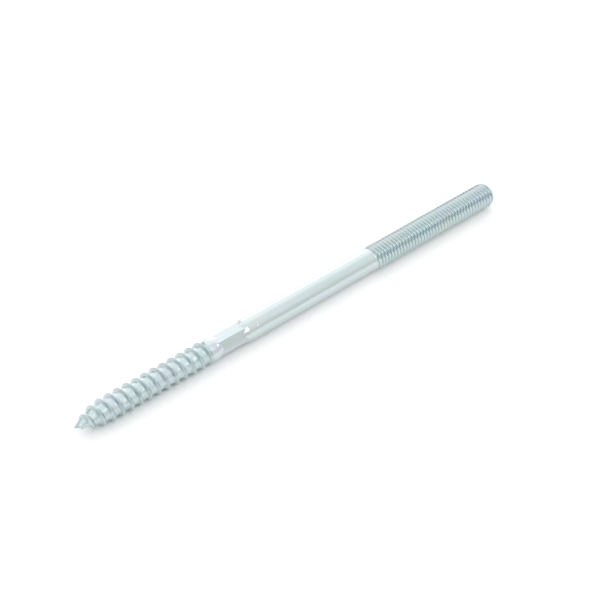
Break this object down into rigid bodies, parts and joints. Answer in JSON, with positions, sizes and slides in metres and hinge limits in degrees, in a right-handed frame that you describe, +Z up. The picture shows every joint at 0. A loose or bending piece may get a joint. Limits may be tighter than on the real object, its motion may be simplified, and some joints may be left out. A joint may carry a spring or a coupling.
{
  "type": "hanger bolt",
  "caption": "Zinc-plated hanger bolt: a coarse wood thread with a gimlet point, a pressed hexagon, a plain shank and a machine thread for a nut.",
  "frame": {"origin": "on the plane the bolt lies on, under the middle of its length", "axes": "+X along the bolt's axis, from the gimlet point towards the machine thread's end; +Z up"},
  "size_m": [0.16, 0.0078, 0.0079],
  "materials": {
    "zinc_plate": "bright blue-passivated zinc plating over drawn and thread-rolled steel"
  },
  "bodies": {
    "root": {"hanger_bolt": "zinc_plate"}
  },
  "joints": []
}
